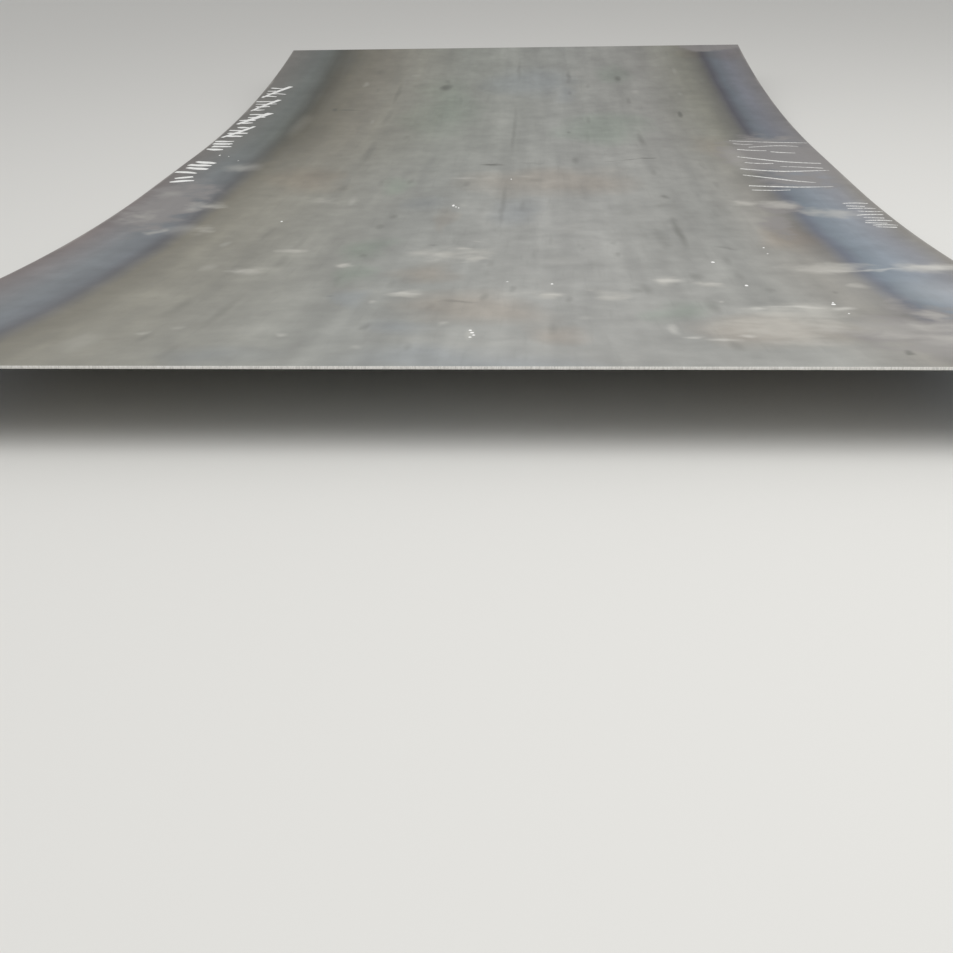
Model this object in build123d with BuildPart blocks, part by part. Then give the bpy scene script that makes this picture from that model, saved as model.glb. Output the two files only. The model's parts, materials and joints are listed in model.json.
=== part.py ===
from build123d import *
from math import cos, degrees, radians, sin, tan
import os

# Hot-rolled steel plate, cut to length from a coil that left its bow in it.
# Millimetres. Length along Y, width along X, the underside of its flat middle on Z = 0
# and the origin in the middle of the plate. The bow lifts both ends off the floor.
# The two long sides keep the round edge that the mill rolled. The two short ends are
# sheared: the blade drew the top down, cut a smooth land and tore the rest.

# Plate
width = 1500
length = 3000  # along the underside, as it was cut
thickness = 3.5

# Bow
flat_middle = 400  # how much of the length lies on the floor
bow_radius = 8500  # of the underside, from the flat middle out to each end

# Rolled edge, the long sides
edge_crown = 0.4  # how much the round's radius is over half the thickness

# Sheared edge, the short ends
roll_over = 0.5  # radius at the top, where the blade drew the surface down
land = 1.1  # height of the smooth cut below it
torn_angle = 5  # how far the torn rest slopes outward, in degrees
burr = 0.15  # how far its lip hangs below the underside
burr_foot = 0.4  # how far back from the cut the lip starts

# Worked out from the sizes above
flat_half = flat_middle / 2
turn = (length / 2 - flat_half) / bow_radius  # slope at the ends, in radians
torn_height = thickness - roll_over - land
round_radius = thickness / 2 + edge_crown
half_thickness = thickness / 2
rough = 10  # how far the raw shapes run past the plate before they are cut to it


def by_the_cut(out, up):
    """A point of the side view at the end: out is past the cut, up is above the underside."""
    radius = bow_radius - up
    along = flat_half + radius * sin(turn) + out * cos(turn)
    height = bow_radius - radius * cos(turn) + out * sin(turn)
    return along, height


cut_top = by_the_cut(0, thickness)
land_foot = by_the_cut(0, torn_height)
lip = by_the_cut((torn_height + burr) * tan(radians(torn_angle)), -burr)

with BuildPart() as steel_plate:
    # The plate from its side: the bow with one sheared end, and the mirror image
    with BuildSketch(Plane.YZ) as side_view:
        with BuildLine():
            Line((0, 0), (flat_half, 0))
            underside = JernArc((flat_half, 0), (1, 0), bow_radius, degrees(turn - burr_foot / bow_radius))
            Line(underside @ 1, lip)
            Line(lip, land_foot)
            Line(land_foot, cut_top)
            JernArc((flat_half, thickness), (1, 0), bow_radius - thickness, degrees(turn))
            Line((flat_half, thickness), (0, thickness))
            mirror(about=Plane.YZ)
        make_face()
        top_of_both_cuts = side_view.vertices().group_by(Axis.Y)[-1]
        fillet(top_of_both_cuts, roll_over)
    extrude(amount=width / 2 + rough, both=True)

    # The section as it was rolled, round at both sides, drawn along the middle of the same bow
    with BuildLine(Plane.YZ) as rolling_line:
        Line((-flat_half, half_thickness), (flat_half, half_thickness))
        far_run = JernArc(
            (flat_half, half_thickness),
            (1, 0),
            bow_radius - half_thickness,
            degrees(turn + rough / bow_radius),
        )
        mirror(far_run, about=Plane.XZ)
    rolled_path = rolling_line.wire()
    with BuildSketch(Plane(origin=rolled_path @ 0, x_dir=(1, 0, 0), z_dir=rolled_path % 0)):
        SlotOverall(width, 2 * round_radius)
    sweep(path=rolled_path, mode=Mode.INTERSECT)

steel_plate.part.label = "steel_plate"
os.makedirs("parts", exist_ok=True)
export_step(steel_plate.part, "parts/steel_plate.step")
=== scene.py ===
import json
from math import atan2, cos, hypot, radians, sin, sqrt
from random import Random

import bmesh
import bpy
from mathutils import Matrix, Vector


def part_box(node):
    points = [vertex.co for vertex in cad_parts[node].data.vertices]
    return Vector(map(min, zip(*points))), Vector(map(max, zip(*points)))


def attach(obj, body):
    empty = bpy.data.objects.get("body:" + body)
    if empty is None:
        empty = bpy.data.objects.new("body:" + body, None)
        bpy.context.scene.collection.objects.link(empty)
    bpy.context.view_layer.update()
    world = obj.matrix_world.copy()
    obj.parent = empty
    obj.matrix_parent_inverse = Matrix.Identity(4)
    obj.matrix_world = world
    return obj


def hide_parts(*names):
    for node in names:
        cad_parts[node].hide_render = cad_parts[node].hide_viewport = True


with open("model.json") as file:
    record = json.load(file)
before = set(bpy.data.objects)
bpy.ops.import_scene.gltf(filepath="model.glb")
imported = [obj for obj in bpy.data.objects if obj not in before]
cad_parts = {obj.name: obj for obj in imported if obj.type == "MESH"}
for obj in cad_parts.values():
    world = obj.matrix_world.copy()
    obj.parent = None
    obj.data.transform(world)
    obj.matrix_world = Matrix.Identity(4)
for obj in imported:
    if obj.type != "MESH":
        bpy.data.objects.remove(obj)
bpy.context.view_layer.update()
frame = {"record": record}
lowCorner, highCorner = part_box("steel_plate")
topFace = next(m for m in frame["record"]["mounts"] if m["name"] == "top_face")
thickness = topFace["pos_m"][2]
width = highCorner.x - lowCorner.x
mm = 0.001
print("frame loaded: plate", round(width / mm), "mm wide and", round(thickness / mm, 2), "mm thick")


def hexColour(code):
    # sRGB hex to the linear values that Blender's sockets want
    parts = [int(code[i:i + 2], 16) / 255 for i in (1, 3, 5)]
    linear = [c / 12.92 if c <= 0.04045 else ((c + 0.055) / 1.055) ** 2.4 for c in parts]
    return (*linear, 1.0)


def addNode(tree, kind, settings=None, values=None, links=None, stops=None):
    # one node: its settings, its fixed inputs, what feeds it, and a ramp's stops as (place, colour);
    # a Math node with no operation adds
    made = tree.nodes.new(kind)
    for name, value in (settings or {}).items():
        setattr(made, name, value)
    for socket, value in (values or {}).items():
        made.inputs[socket].default_value = value
    for socket, source in (links or {}).items():
        tree.links.new(source, made.inputs[socket])
    for i, (place, shade) in enumerate(stops or []):
        stop = made.color_ramp.elements[i] if i < 2 else made.color_ramp.elements.new(place)
        stop.position = place
        stop.color = hexColour(shade)
    return made


def newMaterial(name):
    made = bpy.data.materials.new(name)
    made.use_nodes = True
    return made, made.node_tree, made.node_tree.nodes["Principled BSDF"]


def pick(piece, kind, test):
    # edit mode: everything off, then what passes the test on
    bpy.ops.mesh.select_mode(type=kind)
    bpy.ops.mesh.select_all(action="DESELECT")
    mesh = bmesh.from_edit_mesh(piece.data)
    parts = {"VERT": mesh.verts, "EDGE": mesh.edges, "FACE": mesh.faces}[kind]
    for part in parts:
        part.select = test(part)
    mesh.select_flush_mode()
    bmesh.update_edit_mesh(piece.data)


# Steel plate: hot rolled, both ends sheared, and bowed so that they stand off the floor

plate = {
    "flatMiddle": 400 * mm,  # how much of the length lies on the floor
    "cutLength": 3000 * mm,  # along the underside
    "bowRadius": 8500 * mm,
    "edgeRadius": thickness / 2 + 0.4 * mm,  # round of the rolled edge
    "edgeRows": (0.475 * mm, 1.14 * mm, 1.9 * mm, 3 * mm, 3.25 * mm),  # heights of that round's rows
    "lastRun": 1.2 * mm,  # the last row of faces before the cut
    "spacing": 15 * mm,  # of rows and columns
    "smoothUpTo": radians(34),
    "weld": 0.01 * mm,  # points nearer than this are one
}
flatHalf = plate["flatMiddle"] / 2
cutAlong = plate["cutLength"] / 2
turn = (cutAlong - flatHalf) / plate["bowRadius"]
roundOut = plate["edgeRadius"] - sqrt(plate["edgeRadius"] ** 2 - (thickness / 2) ** 2)


def unroll(point):
    # (distance along the underside, height above the underside) of a point of the bowed plate
    if abs(point.y) <= flatHalf:
        return point.y, point.z
    run, rise = abs(point.y) - flatHalf, plate["bowRadius"] - point.z
    along = flatHalf + plate["bowRadius"] * atan2(run, rise)
    return (along if point.y > 0 else -along), plate["bowRadius"] - hypot(run, rise)


def onPlate(x, along):
    # millimetres across and along the plate to the point of its top surface, in metres
    bend = max(abs(along) * mm - flatHalf, 0) / plate["bowRadius"]
    radius = plate["bowRadius"] - thickness
    y = min(abs(along) * mm, flatHalf) + radius * sin(bend)
    return Vector((x * mm, y if along > 0 else -y, plate["bowRadius"] - radius * cos(bend)))


def makePlate():
    bpy.ops.object.select_all(action="DESELECT")
    bpy.ops.mesh.primitive_cube_add(size=1, location=(0, 0, thickness / 2))
    piece = bpy.context.object
    piece.name = "hot_rolled_plate"
    piece.data.name = piece.name
    flatWidth = width - 2 * roundOut
    bpy.ops.transform.resize(value=(flatWidth, plate["flatMiddle"], thickness))
    bpy.ops.object.transform_apply(location=True, rotation=True, scale=True)
    bpy.ops.object.mode_set(mode="EDIT")

    # rows through the thickness
    cuts = [((0, 0, row), (0, 0, 1)) for row in plate["edgeRows"]]
    # columns across the width, rows along the flat middle
    columns = round(flatWidth / plate["spacing"])
    cuts += [((flatWidth * (i / columns - 0.5), 0, 0), (1, 0, 0)) for i in range(1, columns)]
    ranks = round(plate["flatMiddle"] / plate["spacing"])
    cuts += [((0, plate["flatMiddle"] * (i / ranks - 0.5), 0), (0, 1, 0)) for i in range(1, ranks)]
    for place, normal in cuts:
        bpy.ops.mesh.select_all(action="SELECT")
        bpy.ops.mesh.bisect(plane_co=place, plane_no=normal)

    # rolled edge: each row of the two long sides goes out to the round
    edge = flatWidth / 2
    tiny = 0.001 * mm
    for row in (0, *plate["edgeRows"], thickness):
        bulge = sqrt(plate["edgeRadius"] ** 2 - (row - thickness / 2) ** 2)
        out = bulge - plate["edgeRadius"] + roundOut
        pick(piece, "VERT", lambda v: abs(abs(v.co.x) - edge) < tiny and abs(v.co.z - row) < tiny)
        bpy.ops.transform.resize(value=((edge + out) / edge, 1, 1), center_override=(0, 0, 0))

    # bow: the end faces are spun round to the cut, the last row a short one
    lastTurn = plate["lastRun"] / plate["bowRadius"]
    steps = round((turn - lastTurn) * plate["bowRadius"] / plate["spacing"])
    for side in (1, -1):
        pick(piece, "FACE", lambda f: f.normal.y * side > 0.9)
        centre = (0, flatHalf * side, plate["bowRadius"])
        for angle, count in ((turn - lastTurn, steps), (lastTurn, 1)):
            bpy.ops.mesh.spin(steps=count, angle=angle, center=centre, axis=(-side, 0, 0))

    bpy.ops.mesh.select_all(action="SELECT")
    bpy.ops.mesh.remove_doubles(threshold=plate["weld"])
    bpy.ops.mesh.normals_make_consistent(inside=False)
    bpy.ops.mesh.select_all(action="DESELECT")
    bpy.ops.object.mode_set(mode="OBJECT")
    bpy.ops.object.shade_smooth_by_angle(angle=plate["smoothUpTo"])

    # the height above the underside, which the cut's material follows
    height = piece.data.attributes.new("height", "FLOAT", "POINT")
    for v in piece.data.vertices:
        height.data[v.index].value = unroll(v.co)[1] / thickness
    return piece


steelPlate = makePlate()
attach(steelPlate, "root")
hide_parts("steel_plate")
print("plate:", len(steelPlate.data.polygons), "faces")

# Mill scale: the oxide that hot rolling leaves. Grey satin with faint streaks along the rolling
# direction, and blue and olive temper bands near both rolled edges.

scale = {
    # colour across the plate, by millimetres from the middle, in the far half and in the near half:
    # a lighter rim on each rolled edge, partly wear and partly painted highlight, then blue grey temper
    # band, dark line, straw, grey middle, and the same to the other rim
    "farAcross": [
        (-750, "#8f8c86"), (-745, "#6f6c67"), (-640, "#676c68"), (-612, "#616661"), (-582, "#474940"),
        (-552, "#524f41"), (-505, "#6f6b5d"), (-410, "#837f73"), (-150, "#91938b"), (140, "#999a95"),
        (400, "#908f8a"), (545, "#838276"), (598, "#5f5e57"), (622, "#3f3f49"), (648, "#5d656e"),
        (690, "#6f717a"), (745, "#726f6f"), (750, "#8c8986"),
    ],
    "nearAcross": [
        (-750, "#8f8a85"), (-745, "#756c6a"), (-650, "#777c80"), (-608, "#696e73"), (-583, "#55565a"),
        (-550, "#797568"), (-490, "#8a877b"), (-150, "#949590"), (140, "#9e9e9a"), (420, "#979792"),
        (520, "#8f8c85"), (562, "#75736f"), (588, "#5c626f"), (612, "#707b85"), (650, "#868f99"),
        (700, "#8e9096"), (742, "#8a867f"), (750, "#9a9792"),
    ],
    "farUntil": 550,  # millimetres along the plate, up to where the far colours hold
    "nearFrom": -450,  # and from where the near ones do
    "wander": 10,  # how far the bands stray to either side
    # sizes of the patterns in millimetres, across and along, how much detail they have, and the
    # turn in degrees that keeps their grain off the plate's own lines
    "patterns": {
        "streaks": (30, 480, 1, 31),
        "broadStreaks": (90, 900, 1, 62),
        "dashes": (9, 130, 1, 17),
        "clouds": (260, 330, 2, 48),
        "blotches": (110, 150, 3, 25),
        "mottle": (34, 52, 3, 70),
        "crossRubs": (130, 48, 3, 14),
        "wisps": (46, 40, 2, 20),
        "grain": (2.2, 3.2, 2, 0),
        "edges": (85, 95, 2, 35),
        "drift": (900, 240, 2, 0),
        "sway": (60, 120, 2, 40),
    },
    # how far each pattern darkens or lightens the scale
    "shading": {
        "streaks": 0.045,
        "broadStreaks": 0.06,
        "blotches": 0.06,
        "mottle": 0.04,
        "crossRubs": 0.026,
        "grain": 0.012,
    },
    "noiseRoughness": 0.55,
    "usualNoise": (0.25, 0.75),  # nearly all of a noise lies between these
    # what makes the marks stray from their places, and how far, across and along
    "strays": {
        "slight": ("sway", 16, 90),
        "curled": ("blotches", 30, 100),
        "ragged": ("edges", 85, 75),
        "wide": ("clouds", 240, 260),
    },
    "fray": 0.5,  # how far the wisps eat into a mask or fill it out
    "gate": 0.2,  # the mask that a frayed mark needs under it to show in full
    "bloomFull": 0.6,  # the mask at which a tint is full
    "dashes": (0.58, 0.8, 0.09, "#5b5c55"),  # noise where they start and are full, amount, colour
    "topOnly": (0.4, 0.6),  # the marks fade out between these heights, as shares of the thickness
    "roughness": (0.48, 0.56),
    "roughNoise": (0.3, 0.7),  # the streaks between which the roughness goes from one to the other
    "grainBump": 0.2,
    "grainDepth": 0.05 * mm,
}

# Marks on the scale: millimetres across and along, half sizes, strength
darkMarks = [
    (-388, -1345, 14, 70, 0.4), (-402, -1150, 20, 110, 0.55), (-335, -1180, 14, 170, 0.5),
    (-331, -830, 18, 90, 0.5), (-335, -1430, 14, 70, 0.4), (-403, -600, 12, 110, 0.4),
    (-328, -660, 12, 70, 0.35), (-290, -1050, 16, 30, 0.3), (-330, -180, 16, 65, 0.5),
    (-326, 210, 18, 290, 0.5), (-252, -130, 14, 60, 0.4), (-254, 395, 15, 45, 0.4),
    (-508, 95, 16, 46, 0.4), (-572, -70, 18, 80, 0.5), (-562, 140, 36, 60, 0.9),
    (-333, 940, 14, 190, 0.6), (-330, 640, 16, 160, 0.45), (-566, 930, 26, 60, 0.5),
    (-545, 1370, 90, 270, 0.9), (-398, 980, 12, 60, 0.35), (-395, 530, 14, 60, 0.35),
    (-420, 1220, 16, 50, 0.35), (-200, -785, 14, 30, 0.5), (-205, -545, 14, 32, 0.5),
    (-205, -1080, 12, 18, 0.5), (-212, -960, 12, 90, 0.34), (-128, -1275, 12, 32, 0.5),
    (-128, -995, 12, 40, 0.42), (-62, -1390, 10, 50, 0.42), (-92, -690, 14, 18, 0.5),
    (-56, -1150, 13, 40, 0.42), (-20, -1125, 44, 12, 0.6), (17, -1085, 12, 60, 0.51),
    (57, -1025, 11, 50, 0.47), (15, -845, 11, 45, 0.42), (85, -760, 10, 70, 0.34),
    (112, -650, 10, 120, 0.3), (134, -1110, 10, 40, 0.5), (165, -730, 10, 50, 0.3),
    (222, -780, 10, 40, 0.5), (235, -1035, 18, 34, 0.5), (220, -670, 12, 26, 0.38),
    (110, -1290, 11, 60, 0.42), (20, -340, 10, 330, 0.51), (60, -340, 11, 80, 0.42),
    (-188, -440, 13, 36, 0.6), (-190, -120, 13, 60, 0.42), (-65, -135, 14, 36, 0.5),
    (85, -120, 40, 40, 0.4), (-18, 60, 32, 18, 0.9), (75, 70, 60, 22, 0.4), (175, 110, 13, 70, 0.55),
    (168, 435, 10, 30, 0.6), (213, 380, 11, 170, 0.34), (24, 480, 11, 460, 0.51),
    (25, 1230, 12, 200, 0.51), (-192, 1095, 16, 50, 0.6), (-185, 660, 18, 50, 0.4),
    (-138, 850, 12, 90, 0.4), (-62, 950, 40, 26, 0.4), (178, 935, 11, 44, 0.51),
    (178, 1130, 12, 120, 0.64), (222, 600, 12, 100, 0.47), (236, 1005, 12, 70, 0.42),
    (-118, 1230, 24, 60, 0.35), (308, -690, 20, 70, 0.5), (342, -600, 12, 190, 0.8),
    (308, -630, 22, 90, 0.5), (408, -715, 28, 20, 0.6), (331, -945, 18, 56, 0.6),
    (392, -830, 12, 70, 0.45), (396, -950, 14, 60, 0.4), (425, -1040, 11, 46, 0.42),
    (326, -1150, 15, 80, 0.55), (320, -1400, 14, 56, 0.45), (506, -1428, 7, 13, 1),
    (515, -625, 44, 130, 0.4), (512, -1060, 7, 14, 0.6), (250, -1035, 16, 66, 0.5),
    (345, -480, 11, 70, 0.51), (347, -270, 14, 34, 0.8), (335, -350, 34, 46, 0.4),
    (345, -35, 14, 60, 0.5), (346, 350, 15, 150, 0.65), (430, -430, 16, 70, 0.35),
    (465, -180, 13, 46, 0.38), (462, 30, 13, 120, 0.34), (328, 1105, 18, 54, 0.9),
    (345, 830, 16, 80, 0.5), (470, 860, 18, 70, 0.35),
]
# spots and short scratches, each in its own place
darkSpots = [
    (-195, 1012, 24, 66, 1), (-494, 752, 12, 28, 1), (-452, 750, 54, 14, 0.6), (475, 655, 11, 46, 1),
    (-18, 60, 44, 10, 0.6), (262, 93, 34, 6, 0.45), (304, 104, 40, 8, 0.75), (342, 115, 28, 11, 1),
    (506, -1428, 8, 14, 1), (328, 1105, 18, 54, 0.45),
]
paleMarks = [
    (-440, -865, 24, 60, 0.45), (-400, -1310, 16, 20, 0.6), (-365, -1285, 14, 16, 0.5),
    (-460, -1370, 40, 90, 0.4), (-460, -670, 16, 46, 0.5), (-290, -310, 14, 80, 0.55),
    (-445, 1070, 18, 46, 0.5), (-368, 600, 12, 60, 0.4), (-300, 1160, 24, 36, 0.4),
    (-222, -1332, 14, 15, 0.8), (-138, -1104, 10, 14, 0.8), (-30, -1255, 11, 24, 0.7),
    (-75, -775, 18, 18, 0.6), (-18, -660, 14, 14, 0.6), (155, -1235, 18, 18, 0.4),
    (-120, -1390, 12, 24, 0.5), (-115, -760, 36, 36, 0.4), (-76, -75, 46, 20, 0.7),
    (-20, -85, 40, 30, 0.35), (8, -1320, 9, 40, 0.9), (130, -820, 60, 60, 0.35),
    (150, -560, 60, 90, 0.3), (-60, -350, 16, 24, 0.4), (60, -70, 30, 20, 0.5),
    (560, -1270, 24, 66, 0.5), (430, -290, 24, 70, 0.35), (370, 940, 24, 46, 0.5),
    (500, 900, 16, 50, 0.4), (510, 1180, 14, 90, 0.35), (-600, 45, 64, 64, 0.8),
    (-690, -230, 46, 46, 0.5), (600, -1400, 200, 100, 0.5), (650, -1070, 110, 190, 0.4),
    (340, -1125, 6, 9, 0.9), (-20, 600, 60, 200, 0.3), (90, 720, 60, 200, 0.25),
    (-222, -845, 24, 14, 0.9), (-375, -890, 34, 18, 0.5), (548, -1010, 70, 300, 0.5),
    (520, -1290, 70, 120, 0.5), (548, 90, 44, 270, 0.5), (-575, -550, 50, 80, 0.6),
    (-560, 560, 44, 280, 0.35),
]
# where water dried and gloves or slings wiped the scale
wipes = [
    (-375, -890, 50, 46, 0.6), (-332, -743, 46, 30, 0.8), (-588, -342, 60, 70, 0.6),
    (-622, -560, 28, 42, 0.5), (-530, -560, 44, 70, 0.5), (-690, -430, 60, 110, 0.4),
    (-222, -845, 22, 36, 0.9), (-98, -1056, 36, 36, 0.9), (-34, -735, 32, 26, 0.9),
    (-18, -800, 24, 44, 0.7), (108, -1070, 34, 40, 0.7), (192, -1080, 40, 60, 0.6),
    (400, -1290, 130, 130, 0.75), (435, -1190, 100, 70, 0.8), (288, -975, 34, 40, 0.9),
    (345, -1000, 24, 40, 0.7), (540, -884, 100, 58, 0.95), (692, -882, 60, 62, 1),
    (500, -340, 60, 44, 0.75), (562, -350, 60, 60, 0.7), (650, -430, 74, 66, 0.75),
    (590, -1230, 34, 70, 0.4), (560, -1010, 22, 40, 0.5), (620, -1330, 160, 120, 0.6),
    (90, -1060, 120, 60, 0.3), (-60, -770, 110, 90, 0.55), (-350, -300, 60, 60, 0.4),
]
# light rims that the water left
rims = [
    (435, -1155, 66, 15, 0.8), (498, -1165, 26, 22, 0.9), (385, -1170, 16, 26, 0.7),
    (258, -1295, 12, 55, 0.7), (280, -1345, 24, 14, 0.8), (312, -1362, 34, 13, 1),
    (345, -1342, 18, 16, 0.8), (285, -972, 34, 26, 0.7), (346, -995, 30, 24, 0.5),
    (600, -905, 120, 12, 0.6), (700, -900, 60, 22, 0.9), (-98, -1056, 44, 18, 0.6),
    (112, -1066, 26, 20, 0.5),
]
# where the temper colours are rubbed down to brown grey
bandRubs = [
    (650, 1478, 170, 64, 0.75), (528, -545, 58, 190, 0.45), (650, 130, 170, 320, 0.9),
    (650, -140, 140, 110, 0.5), (560, -380, 70, 90, 0.5), (640, -1330, 220, 190, 0.9),
    (575, -1150, 40, 140, 0.35), (-665, -330, 110, 340, 0.6),
]
# faint tints of the oxide, each with what it multiplies the colour by
blooms = {
    "brown": ("#fff6ef", [
        (130, -120, 220, 180, 0.9), (20, -1150, 110, 150, 0.9), (-85, -890, 70, 100, 0.7),
        (400, -1290, 120, 130, 0.9), (110, -1290, 60, 80, 0.6), (-420, -60, 110, 200, 0.6),
        (-90, -480, 30, 160, 0.4), (500, 250, 90, 240, 0.4), (528, -600, 70, 170, 0.8),
        (640, 1440, 130, 120, 1),
    ]),
    "green": ("#f5fff8", [
        (250, 480, 150, 260, 0.9), (-200, -720, 60, 110, 0.7), (-175, -900, 30, 130, 0.6),
        (-230, -140, 60, 110, 0.6), (-180, 760, 150, 500, 0.5), (280, -1150, 50, 110, 0.6),
        (330, 1180, 90, 160, 0.5),
    ]),
    "blue": ("#f4f8ff", [
        (60, 1090, 150, 240, 0.8), (-150, -1090, 40, 80, 0.8), (0, -1450, 170, 90, 0.8),
        (-80, -1290, 60, 70, 0.6), (-260, -1450, 70, 60, 0.6), (160, 940, 60, 160, 0.5),
        (-140, -330, 70, 120, 0.4), (60, -400, 90, 160, 0.5),
    ]),
}
# what lies over the scale, from the bottom up: the marks, how they stray, whether their edges fray,
# the mask at which they start and are full, how much of them shows, and their colour
markLayers = [
    (bandRubs, "ragged", True, 0, 0.5, 0.85, "#898583"),
    (darkMarks, "slight", False, 0, 1, 0.55, "#55564f"),
    (darkSpots, "curled", False, 0, 0.9, 0.7, "#4d4e47"),
    (paleMarks, "slight", False, 0, 1, 0.42, "#cac8c0"),
    (wipes, "ragged", True, 0.05, 0.85, 0.5, "#cbc8bf"),
    (rims, "curled", True, 0.05, 1, 0.45, "#dedcd4"),
]


def spreadMarks(tree, place, marks):
    # one mask of soft round marks, as high in its middle as each mark is strong
    nearest = None
    for x, along, halfAcross, halfAlong, strength in marks:
        centre = onPlate(x, along)
        stretch = Vector((1 / (halfAcross * mm), 1 / (halfAlong * mm), 0))
        local = addNode(
            tree, "ShaderNodeVectorMath", {"operation": "MULTIPLY_ADD"},
            values={1: stretch, 2: (-centre.x * stretch.x, -centre.y * stretch.y, 1 - strength)},
            links={0: place},
        )
        away = addNode(
            tree, "ShaderNodeVectorMath", {"operation": "LENGTH"}, links={0: local.outputs[0]}
        ).outputs["Value"]
        if nearest is not None:
            away = addNode(
                tree, "ShaderNodeMath", {"operation": "MINIMUM"}, links={0: nearest, 1: away}
            ).outputs[0]
        nearest = away
    return addNode(tree, "ShaderNodeMapRange", values={3: 1, 4: 0}, links={0: nearest}).outputs[0]


def makeMillScale():
    steel, tree, surface = newMaterial("hot_rolled_mill_scale")
    coords = addNode(tree, "ShaderNodeTexCoord").outputs["Object"]
    pattern, patternColour = {}, {}
    for name, (across, along, detail, turned) in scale["patterns"].items():
        size = (1 / (across * mm), 1 / (along * mm), 0)
        place = addNode(
            tree, "ShaderNodeMapping", values={"Scale": size, "Rotation": (0, 0, radians(turned))},
            links={"Vector": coords},
        )
        noise = addNode(
            tree, "ShaderNodeTexNoise",
            values={"Scale": 1, "Detail": detail, "Roughness": scale["noiseRoughness"]},
            links={"Vector": place.outputs[0]},
        )
        pattern[name], patternColour[name] = noise.outputs[0], noise.outputs[1]

    # colour across the plate, with a slow drift that keeps the bands from being ruled lines
    parts = addNode(tree, "ShaderNodeSeparateXYZ", links={0: coords}).outputs
    wander = scale["wander"] * mm
    drift = addNode(
        tree, "ShaderNodeMapRange", values={3: -wander, 4: wander}, links={0: pattern["drift"]}
    )
    drifted = addNode(tree, "ShaderNodeMath", links={0: parts[0], 1: drift.outputs[0]})
    across = addNode(
        tree, "ShaderNodeMapRange", values={1: -width / 2, 2: width / 2}, links={0: drifted.outputs[0]}
    ).outputs[0]
    half = width / 2 / mm
    colours = {}
    for name in ("farAcross", "nearAcross"):
        stops = [((x + half) / (2 * half), shade) for x, shade in scale[name]]
        colours[name] = addNode(tree, "ShaderNodeValToRGB", links={0: across}, stops=stops).outputs[0]
    nearness = addNode(
        tree, "ShaderNodeMapRange", {"interpolation_type": "SMOOTHSTEP"},
        values={1: scale["farUntil"] * mm, 2: scale["nearFrom"] * mm}, links={0: parts[1]},
    )
    colour = addNode(
        tree, "ShaderNodeMix", {"data_type": "RGBA"},
        links={0: nearness.outputs[0], 6: colours["farAcross"], 7: colours["nearAcross"]},
    ).outputs[2]

    # faint streaks and blotches
    shade = None
    noiseLow, noiseHigh = scale["usualNoise"]
    for name, reach in scale["shading"].items():
        part = addNode(
            tree, "ShaderNodeMapRange",
            values={1: noiseLow, 2: noiseHigh, 3: 1 - 2 * reach, 4: 1 + 2 * reach},
            links={0: pattern[name]},
        ).outputs[0]
        if shade is not None:
            part = addNode(
                tree, "ShaderNodeMath", {"operation": "MULTIPLY"}, links={0: shade, 1: part}
            ).outputs[0]
        shade = part
    colour = addNode(
        tree, "ShaderNodeVectorMath", {"operation": "SCALE"}, links={0: colour, "Scale": shade}
    ).outputs[0]

    # the marks lie on the top surface only, on places that noise moves about
    height = addNode(tree, "ShaderNodeAttribute", {"attribute_name": "height"}).outputs["Fac"]
    fadeFrom, fadeTo = scale["topOnly"]
    onTop = addNode(
        tree, "ShaderNodeMapRange", values={1: fadeFrom, 2: fadeTo}, links={0: height}
    ).outputs[0]
    places = {}
    for name, (source, sideways, lengthways) in scale["strays"].items():
        reach = Vector((sideways * mm, lengthways * mm, 0))
        middle = addNode(
            tree, "ShaderNodeVectorMath", {"operation": "SUBTRACT"},
            values={1: reach / 2}, links={0: coords},
        )
        places[name] = addNode(
            tree, "ShaderNodeVectorMath", {"operation": "MULTIPLY_ADD"},
            values={1: reach}, links={0: patternColour[source], 2: middle.outputs[0]},
        ).outputs[0]

    for tint, marks in blooms.values():
        part = addNode(
            tree, "ShaderNodeMapRange", values={2: scale["bloomFull"]},
            links={0: spreadMarks(tree, places["wide"], marks)},
        )
        colour = addNode(
            tree, "ShaderNodeMix", {"data_type": "RGBA", "blend_type": "MULTIPLY"},
            values={7: hexColour(tint)}, links={0: part.outputs[0], 6: colour},
        ).outputs[2]

    fray = addNode(
        tree, "ShaderNodeMapRange", {"clamp": False},
        values={3: -scale["fray"], 4: scale["fray"]}, links={0: pattern["wisps"]},
    ).outputs[0]
    low, high, amount, tone = scale["dashes"]
    dashes = addNode(
        tree, "ShaderNodeMapRange", values={1: low, 2: high, 4: amount}, links={0: pattern["dashes"]}
    ).outputs[0]
    layers = [(dashes, None, tone)]
    for marks, strays, frayed, low, high, amount, tone in markLayers:
        mask = spreadMarks(tree, places[strays], marks)
        level = mask
        if frayed:
            level = addNode(tree, "ShaderNodeMath", links={0: mask, 1: fray}).outputs[0]
        shown = addNode(
            tree, "ShaderNodeMapRange", {"interpolation_type": "SMOOTHSTEP"},
            values={1: low, 2: high, 4: amount}, links={0: level},
        ).outputs[0]
        layers.append((shown, mask, tone))
    for shown, mask, tone in layers:
        if mask is not None:
            there = addNode(
                tree, "ShaderNodeMapRange", values={2: scale["gate"]}, links={0: mask}
            ).outputs[0]
            for part in (there, onTop):
                shown = addNode(
                    tree, "ShaderNodeMath", {"operation": "MULTIPLY"}, links={0: shown, 1: part}
                ).outputs[0]
        colour = addNode(
            tree, "ShaderNodeMix", {"data_type": "RGBA"}, values={7: hexColour(tone)},
            links={0: shown, 6: colour},
        ).outputs[2]

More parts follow.
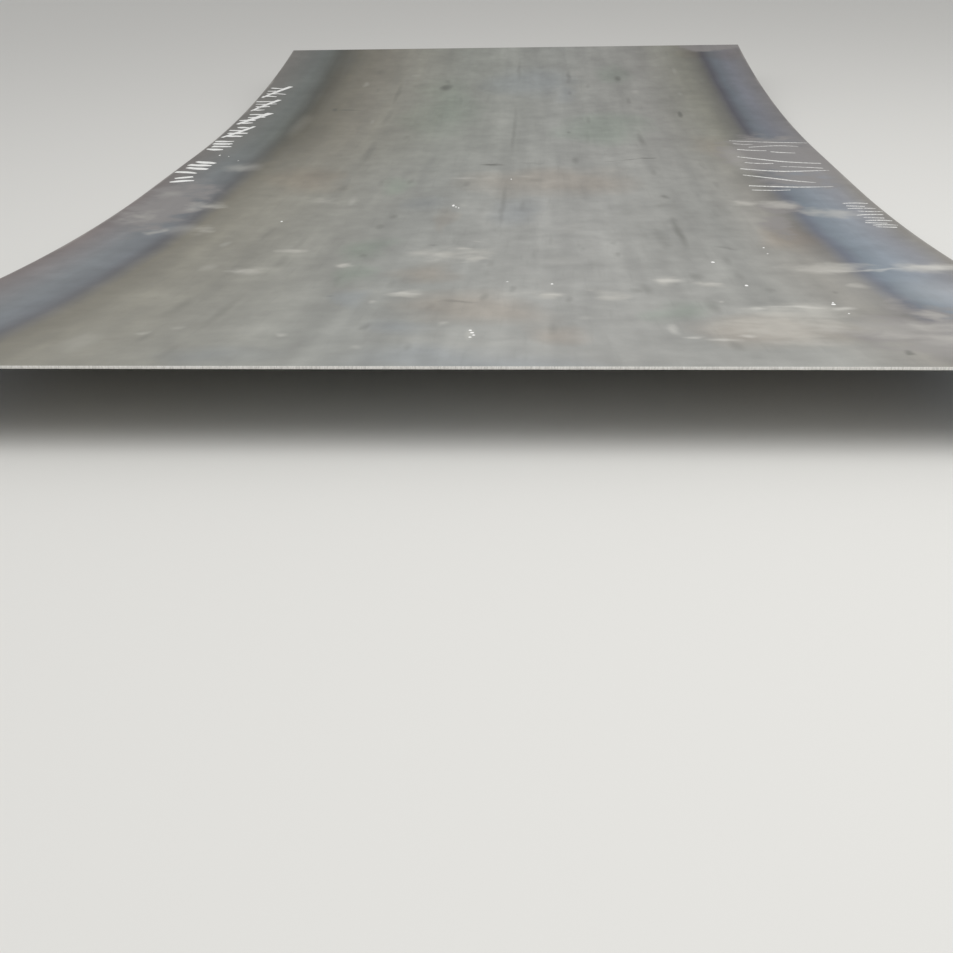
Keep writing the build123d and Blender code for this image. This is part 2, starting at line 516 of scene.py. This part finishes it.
    tree.links.new(colour, surface.inputs["Base Color"])
    smoother, rougher = scale["roughness"]
    noiseLow, noiseHigh = scale["roughNoise"]
    rough = addNode(
        tree, "ShaderNodeMapRange", values={1: noiseLow, 2: noiseHigh, 3: smoother, 4: rougher},
        links={0: pattern["streaks"]},
    )
    tree.links.new(rough.outputs[0], surface.inputs["Roughness"])
    bump = addNode(
        tree, "ShaderNodeBump",
        values={"Strength": scale["grainBump"], "Distance": scale["grainDepth"]},
        links={"Height": pattern["grain"]},
    )
    tree.links.new(bump.outputs[0], surface.inputs["Normal"])
    return steel


steelPlate.data.materials.append(makeMillScale())
print("mill scale:", sum(len(layer[0]) for layer in markLayers), "marks in", len(markLayers), "layers")

# Sheared steel: the blade left a bright smooth land over a torn grey face. Both are drawn in the
# material, on a cut whose faces are flat.

cut = {
    "landFoot": 1.9 * mm,  # height at which the smooth land begins
    # the torn face and the land are paler than bare steel: their own bright colour with a painted
    # highlight on top
    "torn": "#e6e5e0",
    "tornPit": "#a6a7a3",  # the foot of the torn face
    "land": "#f8f7f3",
    "pitTop": 0.08,  # share of the thickness up to which the foot fades
    "landEdge": 0.06,  # share of the thickness over which the land begins
    "ragged": (9 * mm, 2 * mm, 2 * mm),  # size of the teeth along the land's foot
    "raggedReach": 0.14,  # their depth as a share of the thickness
    # upright striations, a millimetre or two apart, that the blade drew down the cut
    "striations": (1.6 * mm, 30 * mm, 7 * mm),
    "lineNoise": (0.3, 0.7),  # nearly all of their noise lies between these
    "darkest": 0.84,
    "brightest": 1.12,
    "bump": 0.5,
    "depth": 0.1 * mm,
    "tornRoughness": 0.5,
    "landRoughness": 0.2,
    "reach": 0.4 * mm,  # the cut's faces lie this near to the plate's end
    "facing": 0.6,  # and look along the plate at least this much
}


def makeShearedSteel():
    steel, tree, surface = newMaterial("sheared_bare_steel")
    height = addNode(tree, "ShaderNodeAttribute", {"attribute_name": "height"}).outputs["Fac"]
    coords = addNode(tree, "ShaderNodeTexCoord").outputs["Object"]
    noise = {}
    for name, detail in (("ragged", 3), ("striations", 2)):
        place = addNode(
            tree, "ShaderNodeMapping", values={"Scale": [1 / size for size in cut[name]]},
            links={"Vector": coords},
        )
        noise[name] = addNode(
            tree, "ShaderNodeTexNoise", values={"Scale": 1, "Detail": detail},
            links={"Vector": place.outputs[0]},
        ).outputs[0]

    # colour and roughness by the height above the underside
    shift = addNode(
        tree, "ShaderNodeMapRange", values={3: -cut["raggedReach"], 4: cut["raggedReach"]},
        links={0: noise["ragged"]},
    )
    level = addNode(tree, "ShaderNodeMath", links={0: height, 1: shift.outputs[0]}).outputs[0]
    landFoot = cut["landFoot"] / thickness
    landFull = landFoot + cut["landEdge"]
    ramp = addNode(
        tree, "ShaderNodeValToRGB", links={0: level},
        stops=[(0, cut["tornPit"]), (cut["pitTop"], cut["torn"]), (landFoot, cut["torn"]),
               (landFull, cut["land"])],
    )
    rough = addNode(
        tree, "ShaderNodeMapRange",
        values={1: landFoot, 2: landFull, 3: cut["tornRoughness"], 4: cut["landRoughness"]},
        links={0: level},
    )
    tree.links.new(rough.outputs[0], surface.inputs["Roughness"])

    noiseLow, noiseHigh = cut["lineNoise"]
    shade = addNode(
        tree, "ShaderNodeMapRange",
        values={1: noiseLow, 2: noiseHigh, 3: cut["darkest"], 4: cut["brightest"]},
        links={0: noise["striations"]},
    )
    lined = addNode(
        tree, "ShaderNodeVectorMath", {"operation": "SCALE"},
        links={0: ramp.outputs[0], "Scale": shade.outputs[0]},
    )
    tree.links.new(lined.outputs[0], surface.inputs["Base Color"])
    bump = addNode(
        tree, "ShaderNodeBump", values={"Strength": cut["bump"], "Distance": cut["depth"]},
        links={"Height": noise["striations"]},
    )
    tree.links.new(bump.outputs[0], surface.inputs["Normal"])
    surface.inputs["Metallic"].default_value = 1
    return steel


steelPlate.data.materials.append(makeShearedSteel())
cutFaces = 0
for face in steelPlate.data.polygons:
    along = abs(unroll(face.center)[0])
    if along > cutAlong - cut["reach"] and abs(face.normal.y) > cut["facing"]:
        face.material_index = 1
        cutFaces += 1
print("sheared ends:", cutFaces, "faces")

# Shop marks: paint-marker tallies along the left edge, chalk strokes along the right one

tally = {  # all in millimetres
    "outer": -742,  # across, where the strokes start and end
    "inner": -684,
    "step": 36,
    "slashOver": 14,  # how far a slash reaches past its group
    "nib": 21,
    "film": 0.35,
    # how unsteady the hand is
    "lean": 10,
    "slip": 5,
    "wobble": 4,
    "outerSlip": (-3, 16),
    "innerSlip": (-16, 12),
}
# millimetres along the plate to a group of strokes, and how many strokes it has
tallyGroups = [(1035, 5), (870, 5), (705, 5), (540, 5), (375, 4), (110, 4), (-60, 2)]
chalk = {
    "nib": 7,  # millimetres
    "film": 0.25,
    "colour": "#f2f2ee",
    "grain": 2.5 * mm,  # coarser than real grains, which would not show
    "caught": (0.34, 0.5),  # noise between which the chalk goes from thin to full
    "leastCover": 0.25,
    "roughness": 0.95,
}
# millimetres across and along to the points of each stroke
chalkLines = [
    [(562, 322), (640, 300), (720, 292), (746, 286)],
    [(566, 288), (588, 272), (612, 276)],
    [(596, 240), (640, 254), (684, 258), (716, 244)],
    [(566, 216), (594, 200), (632, 196)],
    [(640, 184), (664, 170), (694, 166)],
    [(552, 128), (600, 96), (660, 58), (728, 44)],
    [(560, 60), (588, 46), (622, 48)],
    [(540, -6), (596, -34), (656, -40), (730, -30)],
    [(632, 14), (682, 8), (722, -8)],
    [(536, -72), (590, -104), (640, -140), (676, -152)],
    [(532, -178), (590, -190), (650, -196), (704, -192)],
    [(532, -218), (570, -226), (610, -220)],
    [(688, -346), (712, -340), (736, -348)],
    [(690, -368), (724, -374)],
    [(686, -394), (714, -386), (740, -394)],
    [(700, -414), (724, -424), (746, -420)],
    [(690, -452), (716, -442), (740, -448)],
    [(698, -470), (734, -478)],
    [(694, -500), (720, -492), (742, -502)],
    [(690, -516), (728, -522)],
    [(698, -538), (722, -532), (742, -540)],
    [(700, -552), (736, -558)],
]
# paint drops: millimetres across and along, radius
spatter = [
    (-80, -345, 3.4), (-74, -358, 2.2), (-68, -366, 1.6), (30, -98, 2), (-400, -480, 2.2),
    (370, -835, 2.6), (112, -995, 2), (45, -978, 1.6), (395, -1010, 2.2), (8, -1302, 2),
    (11, -1316, 2.8), (14, -1330, 2.4), (10, -1342, 1.8), (468, -770, 1.8), (470, -722, 1.4),
    (490, -1140, 2.8), (492, -1128, 1.6), (496, -1200, 1.5), (-700, 330, 2.6), (-690, 196, 2),
    (-664, 180, 1.8), (-628, 128, 1.6),
]

stroke = {
    "press": (0.75, 1.3),  # how much the width of a line changes
    "pressStart": (0.4, 1),  # the hand presses less where a stroke starts and ends
    "pressEnd": (0.3, 0.8),
    "weld": 0.02 * mm,
    "smoothUpTo": radians(40),
}
drop = {"across": (0.8, 1.3), "along": (1, 3), "flat": 0.2}  # what a round drop is stretched by


def tallyStrokes(hand):
    strokes = []
    slip, wobble = tally["slip"], tally["wobble"]
    for start, count in tallyGroups:
        lean = hand.uniform(-tally["lean"], tally["lean"])
        for i in range(min(count, 4)):
            along = start - i * tally["step"] + hand.uniform(-slip, slip)
            first = tally["outer"] + hand.uniform(*tally["outerSlip"])
            last = tally["inner"] + hand.uniform(*tally["innerSlip"])
            points = []
            for share, tilt in ((0, -1), (0.3, -0.3), (0.65, 0.3), (1, 1)):
                x = first + (last - first) * share
                points.append((x, along + lean * tilt + hand.uniform(-wobble, wobble)))
            strokes.append(points)
        if count == 5:
            # the fifth stroke is the slash across the other four
            last = start - 3 * tally["step"] - tally["slashOver"]
            strokes.append([
                (tally["inner"] + hand.uniform(0, 12), start + tally["slashOver"]),
                ((tally["inner"] + tally["outer"]) / 2, (start + last) / 2 + hand.uniform(-12, 12)),
                (tally["outer"] + hand.uniform(0, 10), last),
            ])
    return strokes


def drawStrokes(name, strokes, nibWidth, nibHeight, hand):
    bpy.ops.object.select_all(action="DESELECT")
    bpy.ops.curve.primitive_bezier_circle_add(radius=1)
    nib = bpy.context.object
    bpy.ops.transform.resize(value=(nibWidth / 2 * mm, nibHeight * mm, 1))
    bpy.ops.object.transform_apply(location=True, rotation=True, scale=True)
    nib.data.resolution_u = 3
    bpy.ops.curve.primitive_nurbs_path_add()
    drawn = bpy.context.object
    drawn.name = name
    drawn.data.splines.clear()
    for points in strokes:
        line = drawn.data.splines.new("NURBS")
        line.points.add(len(points) - 1)
        for point, (x, along) in zip(line.points, points):
            point.co = (*onPlate(x, along), 1)
            point.radius = hand.uniform(*stroke["press"])
        line.points[0].radius *= hand.uniform(*stroke["pressStart"])
        line.points[-1].radius *= hand.uniform(*stroke["pressEnd"])
        line.order_u = 3
        line.use_endpoint_u = True
        line.resolution_u = 8
    drawn.data.bevel_mode = "OBJECT"
    drawn.data.bevel_object = nib
    drawn.data.use_fill_caps = True
    drawn.data.twist_mode = "Z_UP"
    bpy.ops.object.select_all(action="DESELECT")
    drawn.select_set(True)
    bpy.context.view_layer.objects.active = drawn
    bpy.ops.object.convert(target="MESH")
    bpy.data.objects.remove(nib)
    bpy.ops.object.mode_set(mode="EDIT")
    bpy.ops.mesh.select_all(action="SELECT")
    bpy.ops.mesh.remove_doubles(threshold=stroke["weld"])
    bpy.ops.mesh.normals_make_consistent(inside=False)
    bpy.ops.object.mode_set(mode="OBJECT")
    bpy.ops.object.shade_smooth_by_angle(angle=stroke["smoothUpTo"])
    return drawn


def dropSpatter(hand):
    made = []
    for x, along, radius in spatter:
        bpy.ops.object.select_all(action="DESELECT")
        bpy.ops.mesh.primitive_uv_sphere_add(
            segments=10, ring_count=6, radius=radius * mm, location=onPlate(x, along)
        )
        spread = (hand.uniform(*drop["across"]), hand.uniform(*drop["along"]), drop["flat"])
        bpy.ops.transform.resize(value=spread)
        bpy.ops.object.transform_apply(location=True, rotation=True, scale=True)
        made.append(bpy.context.object)
    for one in made:
        one.select_set(True)
    bpy.context.view_layer.objects.active = made[0]
    bpy.ops.object.join()
    # the joined drops keep the first drop's origin, which goes back to the plate's
    bpy.context.scene.cursor.location = (0, 0, 0)
    bpy.ops.object.origin_set(type="ORIGIN_CURSOR")
    made[0].name = "paint_spatter"
    bpy.ops.object.shade_smooth()
    return made[0]


paint = {
    "thin": "#b9bab7",
    "full": "#fbfbf8",
    "cover": (0.3, 0.4),  # noise between which the paint goes from thin to full
    "patches": 9 * mm,
    "roughness": 0.55,
}


def makeMarkerPaint():
    # paint marker: an opaque white film, thin enough in places for the scale to show through
    whitePaint, tree, surface = newMaterial("white_marker_paint")
    coords = addNode(tree, "ShaderNodeTexCoord").outputs["Object"]
    worn = addNode(
        tree, "ShaderNodeTexNoise", values={"Scale": 1 / paint["patches"], "Detail": 3, "Roughness": 0.6},
        links={"Vector": coords},
    )
    thin, full = paint["cover"]
    film = addNode(
        tree, "ShaderNodeValToRGB", links={0: worn.outputs[0]},
        stops=[(thin, paint["thin"]), (full, paint["full"])],
    )
    tree.links.new(film.outputs[0], surface.inputs["Base Color"])
    surface.inputs["Roughness"].default_value = paint["roughness"]
    return whitePaint


def makeChalk():
    # chalk: dry white grains that catch on the high spots of the scale only
    dryChalk, tree, surface = newMaterial("dry_white_chalk")
    coords = addNode(tree, "ShaderNodeTexCoord").outputs["Object"]
    grains = addNode(
        tree, "ShaderNodeTexNoise", values={"Scale": 1 / chalk["grain"], "Detail": 2, "Roughness": 0.7},
        links={"Vector": coords},
    )
    thin, full = chalk["caught"]
    caught = addNode(
        tree, "ShaderNodeMapRange", values={1: thin, 2: full, 3: chalk["leastCover"]},
        links={0: grains.outputs[0]},
    )
    tree.links.new(caught.outputs[0], surface.inputs["Alpha"])
    surface.inputs["Base Color"].default_value = hexColour(chalk["colour"])
    surface.inputs["Roughness"].default_value = chalk["roughness"]
    return dryChalk


hand = Random(7)
markerPaint = makeMarkerPaint()
paintMarks = drawStrokes("paint_marks", tallyStrokes(hand), tally["nib"], tally["film"], hand)
paintMarks.data.materials.append(markerPaint)
paintSpatter = dropSpatter(hand)
paintSpatter.data.materials.append(markerPaint)
chalkMarks = drawStrokes("chalk_marks", chalkLines, chalk["nib"], chalk["film"], hand)
chalkMarks.data.materials.append(makeChalk())
for piece in (paintMarks, paintSpatter, chalkMarks):
    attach(piece, "root")
print("marks:", sum(len(p.data.polygons) for p in (paintMarks, paintSpatter, chalkMarks)), "faces")

# Floor

floorSheet = {"size": 60, "colour": "#e0dfdb", "roughness": 0.9}
bpy.ops.object.select_all(action="DESELECT")
bpy.ops.mesh.primitive_plane_add(size=floorSheet["size"], location=(0, 0, 0))
floor = bpy.context.object
floor.name = "studio_floor"
floorPaint, floorTree, floorSurface = newMaterial("matt_floor_paint")
floorSurface.inputs["Base Color"].default_value = hexColour(floorSheet["colour"])
floorSurface.inputs["Roughness"].default_value = floorSheet["roughness"]
floor.data.materials.append(floorPaint)

# Light: a pale room and one large soft lamp high above the near right corner

studio = {
    "room": 0.55,
    "lamp": 75,
    "lampSize": 3.0,
    "lampPlace": Vector((1.1, -1.9, 3.2)),
    "aim": Vector((0, -0.2, 0)),
}


def makeLight():
    world = bpy.data.worlds.new("studio")
    bpy.context.scene.world = world
    world.use_nodes = True
    room = world.node_tree.nodes["Background"]
    room.inputs["Color"].default_value = (1, 1, 1, 1)
    room.inputs["Strength"].default_value = studio["room"]
    bpy.ops.object.light_add(type="AREA", location=studio["lampPlace"])
    lamp = bpy.context.object
    lamp.name = "soft_lamp"
    lamp.data.energy = studio["lamp"]
    lamp.data.size = studio["lampSize"]
    lamp.rotation_euler = (studio["aim"] - studio["lampPlace"]).to_track_quat("-Z", "Y").to_euler()


makeLight()
print("light: room", studio["room"], "and lamp", studio["lamp"], "W")

# Camera: the photo's place and lens, found from the plate's outline

view = {
    "place": Vector((0.0939, -2.6724, 0.5548)),
    "turned": radians(-3.401),  # to the left of the plate's length
    "down": radians(26.365),
    "rolled": radians(-1.142),
    "focal": 1165.7,  # pixels of the photo
    "photoWidth": 953,
    "sensor": 36,
    "nearClip": 0.05,
    "farClip": 100,
}


def makeCamera():
    bpy.ops.object.camera_add(location=view["place"])
    camera = bpy.context.object
    camera.name = "photo_camera"
    down, turned, rolled = view["down"], view["turned"], view["rolled"]
    forward = Vector((cos(down) * sin(turned), cos(down) * cos(turned), -sin(down)))
    level = Vector((cos(turned), -sin(turned), 0))
    upright = Vector((sin(down) * sin(turned), sin(down) * cos(turned), cos(down)))
    right = level * cos(rolled) + upright * sin(rolled)
    up = upright * cos(rolled) - level * sin(rolled)
    camera.rotation_euler = Matrix((right, up, -forward)).transposed().to_euler()
    camera.data.sensor_width = view["sensor"]
    camera.data.lens = view["focal"] / view["photoWidth"] * view["sensor"]
    camera.data.clip_start = view["nearClip"]
    camera.data.clip_end = view["farClip"]
    bpy.context.scene.camera = camera
    print("camera: lens", round(camera.data.lens, 1), "mm")


makeCamera()
bpy.context.scene.view_settings.view_transform = "Standard"
